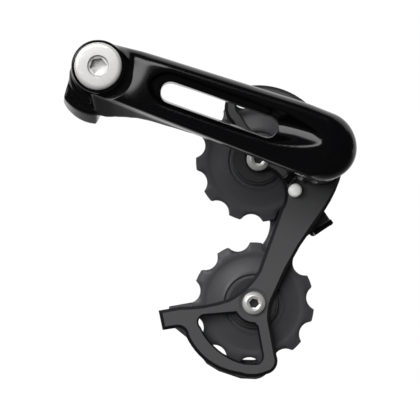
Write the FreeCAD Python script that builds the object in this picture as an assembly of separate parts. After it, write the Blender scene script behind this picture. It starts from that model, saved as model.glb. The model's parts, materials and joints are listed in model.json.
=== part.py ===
"""Two-pulley sprung chain tensioner for a bicycle rear hanger.

Millimetres.  +X is the bicycle's forward direction, +Y points inboard (towards the wheel) and +Z is up.
The origin is on the hanger bolt's axis, in the plane of the face that seats on the frame's hanger.
"""
import FreeCAD
import Part
import math
import os

V = FreeCAD.Vector

# ---- fits and clearances -------------------------------------------------------------------------
RUNNING = 0.05           # radial clearance of a running fit
FREE = 0.3               # clearance of faces that pass each other
LAP = 1.0                # how far cutters run past a face, and fused pieces run into each other

# ---- hanger bolt ---------------------------------------------------------------------------------
THREAD_R = 5.0           # M10 x 1 hanger thread
THREAD_LENGTH = 9.3
SHANK_R = THREAD_R + 0.4         # plain bearing shank inside the boss
HEAD_R = 7.9
HEAD_HEIGHT = 4.6
HEAD_SEAT = -12.4        # underside of the head
HEAD_CROWN = 0.7         # chamfer round the crown, and on the thread's end
HEX_ACROSS = 5.0         # hexagon key size
HEX_DEPTH = 3.6
KEY_RECESS_R = 3.5       # round lead-in above the hexagon
KEY_RECESS_DEPTH = 1.0
WASHER_THICK = 0.6
WASHER_FREE = 0.1
RING_THICK = 0.9         # retaining ring that keeps the bolt in the boss
RING_SEAT_R = SHANK_R - 0.7      # floor of the ring's groove
RING_R = SHANK_R + 1.6
RING_HALF_SPAN = 150.0   # degrees each way from the middle of the open ring

# ---- link arm ------------------------------------------------------------------------------------
ARM_LENGTH = 78.5        # hanger bolt axis to cage pivot axis
ARM_DROP = 19.2          # degrees that the arm falls below level, going forward
BOSS_RIM = 0.8           # wall of the boss round the bolt's head
BOSS_R = HEAD_R + FREE + BOSS_RIM
BOSS_FRONT = -15.8       # outboard face of the boss rim
ARM_FRONT = -15.5        # outboard face of the bar
ARM_BACK = -7.0          # inboard face of the bar along the slot
ARM_EDGE_ROUND = 2.4     # round on the bar's outboard edges
WEDGE_START = BOSS_R + 1.0       # the deep root of the bar thins down from here
WEDGE_END = 36.0         # and meets the bar's back here
SLOT_START = 25.2        # centre of the slot's first round end
SLOT_TO_PIVOT = 18.4     # from the centre of its second to the pivot axis
SLOT_END = ARM_LENGTH - SLOT_TO_PIVOT
SLOT_HALF = 3.1          # half the slot's width
SLOT_RISE = 0.5          # slot's centre line above the arm's centre line
FIELD_DEPTH = 1.8        # sunk field round the slot
FIELD_TOP = 3.0          # its width above, below and behind the slot
FIELD_LOW = 2.6
FIELD_BACK = 4.2
FIELD_TIP = (ARM_LENGTH - 0.4, 1.0)
HOLLOW_DEPTH = 4.6       # deeper almond hollow forward of the slot
HOLLOW_LAP = 2.0         # how far it runs back into the slot
SPOT_R = BOSS_R          # crescent hollow beside the boss rim
SPOT_CENTRE = (3.4, -0.8)
SPOT_DEPTH = 2.0

# ---- claw that bears on the hanger's edge --------------------------------------------------------
CLAW_INNER_R = 12.6      # clears the hanger's rounded end
CLAW_FRONT_R = 15.0      # outer radius at its outboard face
CLAW_FLARE = (15.3, 16.9, 17.7)  # outer radius inboard: at the start, the middle and the end of the sweep
CLAW_FRONT = -3.0
CLAW_REACH = 6.0         # how far inboard it goes past the seat face
CLAW_FROM = 237.5        # degrees round the bolt axis, in the arm's own level frame
CLAW_TO = 287.0
WEB_TAIL = 2.4 * BOSS_R  # where the claw's web runs out under the bar

# ---- cage pivot, bushings and torsion spring -----------------------------------------------------
AXLE_R = 4.0
AXLE_TIP = -12.0
BUSH_WALL = 1.0
BUSH_LENGTH = 5.5
BUSH_BORE_R = AXLE_R + RUNNING
BUSH_R = BUSH_BORE_R + BUSH_WALL
TUBE_R = BUSH_R + 1.15   # inner tube that carries the rear bushing
HOLLOW_TIP = (ARM_LENGTH - TUBE_R, FIELD_TIP[1])  # leaves a wall round the front bushing
TUBE_END = 14.0
WIRE_R = 1.1
COIL_FREE = 0.6          # room inside and outside the coil
COIL_R = TUBE_R + COIL_FREE + WIRE_R
COIL_PITCH = 2 * WIRE_R + 0.3
COIL_START = 2.6
COIL_END_ROOM = 2.7      # from the last turn to the barrel's open end
CAVITY_R = COIL_R + WIRE_R + COIL_FREE
CAVITY_START = 1.0
BARREL_R = CAVITY_R + 2.1
NOSE_R = BARREL_R        # round end of the bar over the cage pivot
BARREL_END = 19.1
LEG_HOLE_R = WIRE_R + 0.2
LEG_DEPTH = 2.4
SEAL_WIDTH = 1.0
SEAL_R = BARREL_R - 0.2
SEAL_BORE_R = CAVITY_R + 0.4
FLANGE_R = AXLE_R + 2.6
RIVET_R = AXLE_R + 1.6
RIVET_THICK = 0.9

# ---- lock screw that holds the axle in -----------------------------------------------------------
NECK_R = 2.8             # neck that the lock screw runs in
NECK_START = -4.8
NECK_WIDTH = 3.6
NECK_MID = NECK_START + NECK_WIDTH / 2
LUG_R = 3.2              # lug for the lock screw, under the barrel
LUG_REACH = BARREL_R + 0.6
LOCK_R = 2.0
LOCK_TIP_R = 1.4
LOCK_SHOULDER = BUSH_BORE_R + 1.15   # where the screw steps down to its tip
LOCK_END = LUG_REACH - 0.4
LOCK_SOCKET_R = 1.1
LOCK_SOCKET_DEPTH = 1.6

# ---- pulleys -------------------------------------------------------------------------------------
TEETH = 11
PITCH = 12.7             # half-inch chain
PITCH_R = PITCH / (2 * math.sin(math.pi / TEETH))
SEAT_R = 4.3             # radius of a roller seat
ROOT_R = PITCH_R - 3.94  # bottom of a seat, just over a roller's radius inside the pitch circle
TIP_R = PITCH_R - 1.34   # teeth are cut short of the pitch circle
TOOTH_WIDTH = 2.4
TOOTH_CHAMFER = 0.5
RIM_WIDTH = 3.4
RIM_R = ROOT_R - 0.6     # where the rim slopes down to the teeth
WEB_R = ROOT_R - 2.1     # where the dished side meets the rim
HUB_WIDTH = 7.2
HUB_R = 8.9
MOAT_DEPTH = 0.9         # groove round the hub
RIDGE_R = 10.2           # thin raised ring outside the groove
RIDGE_TOP = 0.3          # how far it stops short of the hub's face
GUIDE_PHASE = 19.4       # degrees to the first tooth
TENSION_PHASE = 21.5
SLEEVE_R = 4.0
CAP_R = 8.6
CAP_THICK = 1.4
CAP_STEP = 0.8
HUB_FREE = 0.2           # hub to cap, each side
BOLT_R = 2.45            # M5 pulley bolts
BOLT_HOLE_R = BOLT_R + RUNNING
BOLT_HEAD_R = 3.95
BOLT_HEAD_HEIGHT = 2.2
BOLT_HEX = 3.0
BOLT_HEX_DEPTH = 1.76
BOLT_CONE = 0.8
BOLT_END_PROUD = 0.4
SINK_R = 5.0             # shallow spot face under the tension pulley's bolt
SINK_DEPTH = 0.6

# ---- cage ----------------------------------------------------------------------------------------
PLATE_FACE = BARREL_END + FREE + SEAL_WIDTH      # outboard face of the outer plate
OUTER_THICK = 2.4
CAGE_GAP = HUB_WIDTH + 2 * (CAP_THICK + HUB_FREE)  # between the two plates
INNER_THICK = 2.0
GUIDE_BACK = 19.4        # guide pulley axis behind and below the cage pivot
GUIDE_DROP = 2.6
TENSION_BACK = 20.9      # tension pulley axis behind and below the cage pivot
TENSION_DROP = 52.1
LOBE_R = BARREL_R + 0.1
GUARD_R = TIP_R + 4.6    # chain guard's outside, round the guide pulley
GUARD_WIDTH = 4.0
TAIL_BOSS_R = 7.0        # round the tension pulley's bolt, in the tail window
EAR_R = 7.0              # inner plate's round end at the guide pulley
LIP_REACH = 5.5          # how far the keeper lip comes out between the plates
PIN_R = 2.3
PIN_RIVET_R = 1.7
PIN_ORBIT = BARREL_R + PIN_R + 1.0
PIN_ANGLE = 243.1        # degrees round the cage pivot
PIN_PROUD = 3.6
STOP_SPAN = 15.0         # degrees of the barrel's stop lug
STOP_THICK = 3.6

# ---- places worked out from the values above -----------------------------------------------------
DROP = math.radians(ARM_DROP)
PIVOT = (ARM_LENGTH * math.cos(DROP), -ARM_LENGTH * math.sin(DROP))
GUIDE = (-GUIDE_BACK, -GUIDE_DROP)
TENSION = (-TENSION_BACK, -TENSION_DROP)
PLATE_BACK = PLATE_FACE + OUTER_THICK
INNER_FACE = PLATE_BACK + CAGE_GAP
INNER_BACK = INNER_FACE + INNER_THICK
PULLEY_MID = PLATE_BACK + CAGE_GAP / 2
HEAD_FRONT = HEAD_SEAT - HEAD_HEIGHT
HEAD_SPACE = HEAD_SEAT + WASHER_THICK
RING_BACK = -FREE
RING_FRONT = RING_BACK - RING_THICK
STOP_REACH = math.hypot(GUIDE_BACK, GUIDE_DROP) - BOLT_HEAD_R - 2 * FREE  # the guide bolt passes outside it


def rod(x, z, radius, y0, y1):
    """Round bar along Y between two depths."""
    return Part.makeCylinder(radius, y1 - y0, V(x, y0, z), V(0, 1, 0))


def tube(x, z, outer, inner, y0, y1):
    """Round bar with a round bore."""
    return rod(x, z, outer, y0, y1).cut(rod(x, z, inner, y0 - LAP, y1 + LAP))


def outline(start, *steps):
    """Closed line in the XZ plane: one point is a straight run, two points are an arc through the first."""
    edges = []
    here = V(start[0], 0, start[1])
    for step in steps:
        points = [V(p[0], 0, p[1]) for p in step]
        if len(points) == 1:
            edges.append(Part.makeLine(here, points[0]))
        else:
            edges.append(Part.Arc(here, points[0], points[1]).toShape())
        here = points[-1]
    first = V(start[0], 0, start[1])
    if (here - first).Length > 1e-6:
        edges.append(Part.makeLine(here, first))
    return Part.Wire(edges)


def slab(wire, y0, y1):
    """Plate of a given outline between two depths."""
    solid = Part.Face(wire).extrude(V(0, y1 - y0, 0))
    solid.translate(V(0, y0, 0))
    return solid


def polar(centre, radius, degrees):
    """Point at a radius and angle round a centre in the XZ plane."""
    a = math.radians(degrees)
    return (centre[0] + radius * math.cos(a), centre[1] + radius * math.sin(a))


def sector(centre, inner, outer, start, end, y0, y1):
    """Part of a ring between two angles."""
    middle = (start + end) / 2
    wire = outline(polar(centre, inner, start),
                   (polar(centre, outer, start),),
                   (polar(centre, outer, middle), polar(centre, outer, end)),
                   (polar(centre, inner, end),),
                   (polar(centre, inner, middle), polar(centre, inner, start)))
    return slab(wire, y0, y1)


def hexagon(x, z, across, y0, y1):
    """Six-sided key socket."""
    corner = across / math.sqrt(3)
    points = [polar((x, z), corner, 60 * i + 30) for i in range(6)]
    return slab(outline(points[0], *[(p,) for p in points[1:]]), y0, y1)


def tail(across, up):
    """Point of a cage drawing that goes with the tension pulley."""
    return (TENSION[0] + across, TENSION[1] + up)


def ear(across, up):
    """Point of a cage drawing that goes with the guide pulley."""
    return (GUIDE[0] + across, GUIDE[1] + up)


def from_pivot(point):
    """Cage drawings are made round the pivot."""
    return (PIVOT[0] + point[0], PIVOT[1] + point[1])


def cage_outline(start, *steps):
    """Outline drawn round the pivot, put in its place."""
    moved = [tuple(from_pivot(p) for p in step) for step in steps]
    return outline(from_pivot(start), *moved)


def edges_at_depth(shape, y):
    """Edges that lie wholly in one plane of depth."""
    return [e for e in shape.Edges if abs(e.BoundBox.YMin - y) < 1e-4 and abs(e.BoundBox.YMax - y) < 1e-4]


def tilt(shape):
    """The arm is drawn level and then dropped about the bolt axis."""
    shape.rotate(V(0, 0, 0), V(0, 1, 0), ARM_DROP)
    return shape


# ---- link arm ------------------------------------------------------------------------------------
def bar():
    """Tapered bar from boss to nose, deep at the boss and thinner along the slot."""
    lean = math.degrees(math.asin((NOSE_R - BOSS_R) / ARM_LENGTH))
    end = (ARM_LENGTH, 0)
    side = outline(polar((0, 0), BOSS_R, 90 + lean),
                   (polar(end, NOSE_R, 90 + lean),),
                   (polar(end, NOSE_R, 0), polar(end, NOSE_R, -90 - lean)),
                   (polar((0, 0), BOSS_R, -90 - lean),),
                   (polar((0, 0), BOSS_R, 180), polar((0, 0), BOSS_R, 90 + lean)))
    body = slab(side, ARM_FRONT, 0)
    body = body.makeFillet(ARM_EDGE_ROUND, edges_at_depth(body, ARM_FRONT))
    past = ARM_LENGTH + 2 * NOSE_R
    thin = Part.makePolygon([V(WEDGE_START, 0, 0), V(WEDGE_END, ARM_BACK, 0), V(past, ARM_BACK, 0),
                             V(past, LAP, 0), V(WEDGE_START, LAP, 0), V(WEDGE_START, 0, 0)])
    waste = Part.Face(thin).extrude(V(0, 0, 4 * NOSE_R))
    waste.translate(V(0, 0, -2 * NOSE_R))
    return body.cut(waste)


def slot_cuts():
    """Through slot, the sunk field round it and the almond hollow towards the nose."""
    low = SLOT_RISE - SLOT_HALF
    high = SLOT_RISE + SLOT_HALF
    slot = outline((SLOT_START, high), ((SLOT_END, high),),
                   ((SLOT_END + SLOT_HALF, SLOT_RISE), (SLOT_END, low)),
                   ((SLOT_START, low),),
                   ((SLOT_START - SLOT_HALF, SLOT_RISE), (SLOT_START, high)))
    field = outline((SLOT_START, high + FIELD_TOP), ((SLOT_END, high + FIELD_TOP),),
                    ((SLOT_END + 10, high + 1.9), FIELD_TIP),
                    ((SLOT_END + 10, low - 0.9), (SLOT_END, low - FIELD_LOW)),
                    ((SLOT_START, low - FIELD_LOW),),
                    ((SLOT_START - SLOT_HALF - FIELD_BACK, SLOT_RISE), (SLOT_START, high + FIELD_TOP)))
    hollow = outline((SLOT_END - HOLLOW_LAP, high - 0.4), ((SLOT_END + 9, high), HOLLOW_TIP),
                     ((SLOT_END + 8, low + 0.3), (SLOT_END - HOLLOW_LAP, low)))
    cuts = slab(slot, ARM_FRONT - LAP, LAP)
    cuts = cuts.fuse(slab(field, ARM_FRONT - LAP, ARM_FRONT + FIELD_DEPTH))
    return cuts.fuse(slab(hollow, ARM_FRONT - LAP, ARM_FRONT + HOLLOW_DEPTH))


def claw_section(outer):
    """Section of the hook, its outer radius given at the start, middle and end of the sweep."""
    middle = (CLAW_FROM + CLAW_TO) / 2
    return outline(polar((0, 0), CLAW_INNER_R, CLAW_FROM), (polar((0, 0), outer[0], CLAW_FROM),),
                   (polar((0, 0), outer[1], middle), polar((0, 0), outer[2], CLAW_TO)),
                   (polar((0, 0), CLAW_INNER_R, CLAW_TO),),
                   (polar((0, 0), CLAW_INNER_R, middle), polar((0, 0), CLAW_INNER_R, CLAW_FROM)))


def claw():
    """Flared hook that reaches inboard and stops against the hanger's edge, on a web under the boss."""
    flat = claw_section((CLAW_FRONT_R, CLAW_FRONT_R, CLAW_FRONT_R))
    flared = claw_section(CLAW_FLARE)
    flat.translate(V(0, CLAW_FRONT, 0))
    flared.translate(V(0, CLAW_REACH, 0))
    flare = Part.makeLoft([flat, flared], True, True)
    left = polar((0, 0), CLAW_FRONT_R, CLAW_FROM)
    right = polar((0, 0), CLAW_FRONT_R, CLAW_TO)
    web = outline(polar((0, 0), BOSS_R - BOSS_RIM / 2, 190), (left,),
                  (polar((0, 0), CLAW_FRONT_R, (CLAW_FROM + CLAW_TO) / 2), right),
                  ((BOSS_R + 3.5, -BOSS_R - 3.0),), ((WEB_TAIL, -BOSS_R),), ((BOSS_R, 0),))
    return flare.fuse(slab(web, CLAW_FRONT, 0))


def stop_lug():
    """Small lug on the barrel's rim that the cage's stop pin rests against."""
    pin_half = math.degrees(math.asin((PIN_R + FREE) / PIN_ORBIT))
    face = PIN_ANGLE + ARM_DROP - pin_half
    return sector((ARM_LENGTH, 0), CAVITY_R, STOP_REACH, face - STOP_SPAN, face,
                  BARREL_END - STOP_THICK, BARREL_END)


def radial(radius, start, end):
    """Round bar down the lug's axis, between two distances from the pivot axis."""
    return Part.makeCylinder(radius, end - start, V(ARM_LENGTH, NECK_MID, -start), V(0, 0, -1))


def barrel_space():
    """Spring's ring-shaped space, the room over its inner tube, and the bore for the two bushings."""
    space = tube(ARM_LENGTH, 0, CAVITY_R, TUBE_R, CAVITY_START, BARREL_END)
    space = space.fuse(rod(ARM_LENGTH, 0, CAVITY_R, TUBE_END, BARREL_END + LAP))
    return space.fuse(rod(ARM_LENGTH, 0, BUSH_R, AXLE_TIP - FREE, TUBE_END + LAP))


def link_arm():
    arm = bar()
    arm = arm.fuse(rod(0, 0, BOSS_R, BOSS_FRONT, 0))
    arm = arm.fuse(claw())
    arm = arm.fuse(rod(ARM_LENGTH, 0, BARREL_R, ARM_BACK - LAP, BARREL_END))
    arm = arm.fuse(stop_lug())
    arm = arm.fuse(radial(LUG_R, 0, LUG_REACH))
    arm = arm.cut(slot_cuts())
    spot = rod(*SPOT_CENTRE, SPOT_R, ARM_FRONT - LAP, ARM_FRONT + SPOT_DEPTH)
    arm = arm.cut(spot.cut(rod(0, 0, BOSS_R, BOSS_FRONT - LAP, 0)))
    arm = arm.cut(rod(0, 0, HEAD_R + FREE, BOSS_FRONT - LAP, HEAD_SPACE))
    arm = arm.cut(rod(0, 0, SHANK_R + RUNNING, BOSS_FRONT, LAP))
    arm = arm.cut(rod(0, 0, RING_R + FREE, RING_FRONT - FREE, LAP))
    arm = arm.cut(barrel_space())
    arm = arm.cut(radial(LOCK_R, 0, LUG_REACH + LAP))
    leg = polar((ARM_LENGTH, 0), COIL_R, ARM_DROP)
    arm = arm.cut(rod(*leg, LEG_HOLE_R, CAVITY_START - LEG_DEPTH, CAVITY_START + LAP))
    return tilt(arm.removeSplitter())


# ---- hanger bolt ---------------------------------------------------------------------------------
def mounting_bolt():
    """Low head with a hexagon socket, a plain shank and an M10 end drawn at its full diameter."""
    head = rod(0, 0, HEAD_R, HEAD_FRONT, HEAD_SEAT)
    head = head.makeChamfer(HEAD_CROWN, edges_at_depth(head, HEAD_FRONT))
    bolt = head.fuse(rod(0, 0, SHANK_R, HEAD_SEAT, 0))
    bolt = bolt.fuse(rod(0, 0, THREAD_R, 0, THREAD_LENGTH))
    bolt = bolt.makeChamfer(HEAD_CROWN, edges_at_depth(bolt, THREAD_LENGTH))
    bolt = bolt.cut(tube(0, 0, SHANK_R + LAP, RING_SEAT_R, RING_FRONT, RING_BACK))
    bolt = bolt.cut(rod(0, 0, KEY_RECESS_R, HEAD_FRONT - LAP, HEAD_FRONT + KEY_RECESS_DEPTH))
    return bolt.cut(hexagon(0, 0, HEX_ACROSS, HEAD_FRONT, HEAD_FRONT + KEY_RECESS_DEPTH + HEX_DEPTH))


def bolt_washer():
    return tube(0, 0, HEAD_R, SHANK_R + WASHER_FREE, HEAD_SEAT, HEAD_SPACE)


def bolt_retaining_ring():
    """Open ring in the bolt's groove."""
    return sector((0, 0), RING_SEAT_R, RING_R, -RING_HALF_SPAN, RING_HALF_SPAN, RING_FRONT, RING_BACK)


# ---- cage pivot ----------------------------------------------------------------------------------
def pivot_axle():
    """Axle riveted to the outer plate, with a neck for the lock screw and a flange that closes the barrel."""
    axle = rod(*PIVOT, AXLE_R, AXLE_TIP, PLATE_BACK)
    axle = axle.fuse(rod(*PIVOT, FLANGE_R, BARREL_END + FREE, PLATE_FACE))
    axle = axle.fuse(rod(*PIVOT, RIVET_R, PLATE_BACK, PLATE_BACK + RIVET_THICK))
    return axle.cut(tube(*PIVOT, AXLE_R + LAP, NECK_R, NECK_START, NECK_START + NECK_WIDTH))


def bushing(y0):
    """Plain bushing pressed into the arm."""
    return tube(*PIVOT, BUSH_R, BUSH_BORE_R, y0, y0 + BUSH_LENGTH)


def tension_spring():
    """Torsion coil with one leg in the barrel's floor and the other in the outer plate."""
    x, z = PIVOT
    room = BARREL_END - COIL_END_ROOM - COIL_START
    turns = math.floor(room / COIL_PITCH - 0.5) + 0.5
    height = COIL_PITCH * turns
    helix = Part.makeLongHelix(COIL_PITCH, height, COIL_R)
    wire = Part.Wire(Part.makeCircle(WIRE_R, V(COIL_R, 0, 0), V(0, 1, 0)))
    coil = helix.makePipeShell([wire], True, True)
    coil.rotate(V(0, 0, 0), V(1, 0, 0), -90)
    coil.translate(V(x, COIL_START, z))
    bend = WIRE_R / 2
    first = rod(x + COIL_R, z, WIRE_R, CAVITY_START - LEG_DEPTH + FREE, COIL_START + bend)
    last = rod(x - COIL_R, z, WIRE_R, COIL_START + height - bend, PLATE_BACK - FREE)
    return coil.fuse(first).fuse(last)


def pivot_seal_ring():
    """Felt ring that keeps grit out of the barrel."""
    return tube(*PIVOT, SEAL_R, SEAL_BORE_R, PLATE_FACE - SEAL_WIDTH, PLATE_FACE)


def axle_lock_screw():
    """Socket set screw whose tip runs in the axle's neck."""
    screw = radial(LOCK_R, LOCK_SHOULDER, LOCK_END).fuse(radial(LOCK_TIP_R, NECK_R + FREE, LOCK_SHOULDER))
    return tilt(screw.cut(radial(LOCK_SOCKET_R, LOCK_END - LOCK_SOCKET_DEPTH, LUG_REACH)))


# ---- cage ----------------------------------------------------------------------------------------
def plate_outline():
    """Outer plate: pivot lobe, long spine, arrow-shaped tail, guide pulley ear and chain guard."""
    lobe_low = polar((0, 0), LOBE_R, -35)
    return cage_outline(
        lobe_low,
        ((6.2, -14.6), (3.1, -20.0)), ((-5.1, -32.4),),
        (tail(10.5, 9.7), tail(7.3, 2.5)), (tail(5.7, -2.5), tail(6.0, -7.7)), (tail(7.9, -18.1),),
        (tail(7.6, -22.0), tail(4.5, -24.3)), (tail(0.1, -25.3), tail(-4.8, -24.6)),
        (tail(-15.4, -19.4), tail(-22.7, -10.7)), (tail(-24.1, -8.5), tail(-26.7, -8.1)),
        (tail(-31.3, -9.2),), (tail(-32.7, -2.5),), (tail(-25.4, -1.2),),
        (tail(-15.3, -0.3), tail(-8.7, 1.5)), (tail(-2.7, 5.8), tail(1.6, 11.3)), ((-11.6, -19.5),),
        ((-10.6, -11.4), (-15.4, -6.3)), ((-18.0, -7.0), ear(-1.6, -4.0)), (ear(-3.8, -2.2), ear(-4.4, 0.8)),
        (polar(GUIDE, GUARD_R - 10.26, 125.8),),
        (polar(GUIDE, GUARD_R - 6.35, 125.2), polar(GUIDE, GUARD_R - 3.18, 120.0)),
        (polar(GUIDE, GUARD_R - 0.56, 111.4), polar(GUIDE, GUARD_R, 99.4)),
        (polar(GUIDE, GUARD_R, 67), polar(GUIDE, GUARD_R, 35)),
        (polar((0, 0), LOBE_R, 15), lobe_low))


def guard_window():
    """Opening between the chain guard and the pivot lobe."""
    inner = GUARD_R - GUARD_WIDTH
    start = polar(GUIDE, inner, 104.9)
    return cage_outline(
        start, (polar(GUIDE, inner, 70), polar(GUIDE, inner, 43)),
        (polar((0, 0), LOBE_R + 0.8, 140), polar((0, 0), LOBE_R + 0.8, 165)),
        (ear(2.0, 5.8),), (ear(-3.4, 11.4),), (polar(GUIDE, inner - 4.8, 111.4),),
        (polar(GUIDE, inner - 1.6, 111.4), start))


def tail_window():
    """D-shaped opening in the arrow-shaped tail, its top following the tension pulley's bolt boss."""
    return cage_outline(
        tail(-16.8, -4.2), (polar(TENSION, TAIL_BOSS_R, 208),),
        (polar(TENSION, TAIL_BOSS_R, 240), polar(TENSION, TAIL_BOSS_R, 271)), (tail(1.1, -8.1),),
        (tail(2.9, -17.9),), (tail(2.3, -19.8), tail(0.3, -20.6)), (tail(-3.1, -20.5),),
        (tail(-12.3, -15.9), tail(-18.3, -8.1)), (tail(-18.8, -5.5), tail(-16.8, -4.2)))


def through(axis, radius, face, back):
    """Round cutter right through a plate, at a place given from the pivot."""
    return rod(*from_pivot(axis), radius, face - LAP, back + LAP)


def outer_plate():
    plate = slab(plate_outline(), PLATE_FACE, PLATE_BACK)
    for window in (guard_window(), tail_window()):
        plate = plate.cut(slab(window, PLATE_FACE - LAP, PLATE_BACK + LAP))
    for axis, radius in (((0, 0), AXLE_R), (GUIDE, BOLT_HOLE_R), (TENSION, BOLT_HOLE_R),
                         (polar((0, 0), PIN_ORBIT, PIN_ANGLE), PIN_RIVET_R), ((-COIL_R, 0), LEG_HOLE_R)):
        plate = plate.cut(through(axis, radius, PLATE_FACE, PLATE_BACK))
    return plate.cut(rod(*from_pivot(TENSION), SINK_R, PLATE_FACE - LAP, PLATE_FACE + SINK_DEPTH))


def keeper_tab():
    """Bent tab of the inner plate that keeps the chain in front of the guide pulley."""
    web = cage_outline((-6.0, -15.0), ((3.4, -18.4),), ((6.6, -23.2),), ((7.2, -24.2), (6.4, -24.8)),
                       ((1.6, -28.0),), ((0.4, -28.5), (-0.8, -27.8)), ((-9.0, -33.0),))
    lip = cage_outline((7.2, -24.2), ((0.8, -28.5),), ((-0.2, -27.0),), ((6.2, -22.7),))
    return slab(web, INNER_FACE, INNER_BACK).fuse(slab(lip, INNER_FACE - LIP_REACH, INNER_FACE))


def inner_plate():
    """Plain steel plate with a flat-sided tail, which the two pulley bolts screw into."""
    ear_start = polar(GUIDE, EAR_R, 20)
    shape = cage_outline(
        ear_start,
        ((-5.0, -13.0),), ((-1.5, -19.5),), ((-6.4, -32.4),), (tail(8.1, 7.1),), (tail(6.0, -1.9),),
        (tail(6.6, -17.9),), (tail(6.0, -23.1), tail(1.1, -26.2)), (tail(-4.0, -26.0),),
        (tail(-11.7, -23.4),), (tail(-15.8, -20.9),), (tail(-22.4, -12.0),), (tail(-28.9, -6.8),),
        (tail(-28.9, -0.9),),
        (tail(-19.9, 0.7),), (tail(-10.1, 2.1),), (tail(-4.6, 6.1),), ((-17.6, -31.5),),
        ((-16.1, -27.6), (-15.8, -23.7)), ((-17.4, -12.0),), (polar(GUIDE, EAR_R, 250),),
        (polar(GUIDE, EAR_R, 135), ear_start))
    plate = slab(shape, INNER_FACE, INNER_BACK).fuse(keeper_tab())
    plate = plate.cut(slab(tail_window(), INNER_FACE - LAP, INNER_BACK + LAP))
    for axis in (GUIDE, TENSION):
        plate = plate.cut(through(axis, BOLT_HOLE_R, INNER_FACE, INNER_BACK))
    return plate.removeSplitter()


def stop_pin():
    """Riveted pin with a domed end that stands proud of the outer plate."""
    place = from_pivot(polar((0, 0), PIN_ORBIT, PIN_ANGLE))
    head = rod(*place, PIN_R, PLATE_FACE - PIN_PROUD, PLATE_FACE)
    head = head.makeFillet(PIN_R / 4, edges_at_depth(head, PLATE_FACE - PIN_PROUD))
    return head.fuse(rod(*place, PIN_RIVET_R, PLATE_FACE, PLATE_BACK))


# ---- pulleys -------------------------------------------------------------------------------------
def pulley(axis, phase):
    """Resin pulley with dished sides: the profile is turned first and the roller seats are cut after."""
    x, z = from_pivot(axis)
    tooth, rim, hub = TOOTH_WIDTH / 2, RIM_WIDTH / 2, HUB_WIDTH / 2
    dish = [(SLEEVE_R + RUNNING, hub), (HUB_R, hub), (HUB_R, hub - MOAT_DEPTH),
            (RIDGE_R - 0.3, hub - MOAT_DEPTH), (RIDGE_R - 0.1, hub - RIDGE_TOP),
            (RIDGE_R + 0.2, hub - RIDGE_TOP - 0.1), (WEB_R, rim), (RIM_R, rim), (ROOT_R, tooth),
            (TIP_R - TOOTH_CHAMFER, tooth), (TIP_R, tooth - TOOTH_CHAMFER)]
    half = [V(r, y, 0) for r, y in dish]
    other = [V(r, -y, 0) for r, y in reversed(dish)]
    blank = Part.Face(Part.makePolygon(half + other + [half[0]])).revolve(V(0, 0, 0), V(0, 1, 0), 360)
    for i in range(TEETH):
        seat = polar((0, 0), ROOT_R + SEAT_R, phase + 360 / TEETH * (i + 0.5))
        blank = blank.cut(rod(*seat, SEAT_R, -HUB_WIDTH, HUB_WIDTH))
    blank.translate(V(x, PULLEY_MID, z))
    return blank


def pulley_bushing(axis):
    """Sleeve clamped between the two caps, on which the pulley spins."""
    return tube(*from_pivot(axis), SLEEVE_R, BOLT_HOLE_R, PLATE_BACK + CAP_THICK, INNER_FACE - CAP_THICK)


def pulley_cap(axis, outer_side):
    """Dust cap between a plate and the pulley's hub, with a turned step on its plate side."""
    place = from_pivot(axis)
    front = PLATE_BACK if outer_side else INNER_FACE - CAP_THICK
    step = front if outer_side else front + CAP_THICK / 2
    cap = tube(*place, CAP_R, BOLT_HOLE_R, front, front + CAP_THICK)
    return cap.cut(tube(*place, CAP_R + LAP, CAP_R - CAP_STEP, step, step + CAP_THICK / 2))


def pulley_bolt(axis, seat):
    """M5 bolt with a cone-edged head, screwed into the inner plate."""
    place = from_pivot(axis)
    front = seat - BOLT_HEAD_HEIGHT
    head = rod(*place, BOLT_HEAD_R, front, seat)
    head = head.makeChamfer(BOLT_CONE, edges_at_depth(head, front))
    bolt = head.fuse(rod(*place, BOLT_R, seat, INNER_BACK + BOLT_END_PROUD))
    return bolt.cut(hexagon(*place, BOLT_HEX, front - LAP, front + BOLT_HEX_DEPTH))


def write(node, shape):
    """One STEP file per node."""
    if not shape.isValid():
        raise ValueError(node + " is not a valid shape")
    shape.exportStep("parts/" + node + ".step")
    print(node, len(shape.Solids), "solid", round(shape.Volume, 1), "mm3")


def main():
    os.makedirs("parts", exist_ok=True)
    write("link_arm", link_arm())
    write("mounting_bolt", mounting_bolt())
    write("bolt_washer", bolt_washer())
    write("bolt_retaining_ring", bolt_retaining_ring())
    write("pivot_axle", pivot_axle())
    write("pivot_bushing_outer", bushing(AXLE_TIP))
    write("pivot_bushing_inner", bushing(TUBE_END - BUSH_LENGTH))
    write("tension_spring", tension_spring())
    write("pivot_seal_ring", pivot_seal_ring())
    write("axle_lock_screw", axle_lock_screw())
    write("outer_plate", outer_plate())
    write("inner_plate", inner_plate())
    write("stop_pin", stop_pin())
    for name, axis, phase, seat in (("guide", GUIDE, GUIDE_PHASE, PLATE_FACE),
                                    ("tension", TENSION, TENSION_PHASE, PLATE_FACE + SINK_DEPTH)):
        write(name + "_pulley", pulley(axis, phase))
        write(name + "_bushing", pulley_bushing(axis))
        write(name + "_cap_outer", pulley_cap(axis, True))
        write(name + "_cap_inner", pulley_cap(axis, False))
        write(name + "_pulley_bolt", pulley_bolt(axis, seat))


main()
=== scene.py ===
# %% [markdown]
# # A sprung chain tensioner, from frame to finish
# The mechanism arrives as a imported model: every part already has its size, its place and its joint.
# What is left is the look.

# %% Load the frame
import bmesh
import bpy
import json
import math
from mathutils import Matrix, Vector


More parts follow.
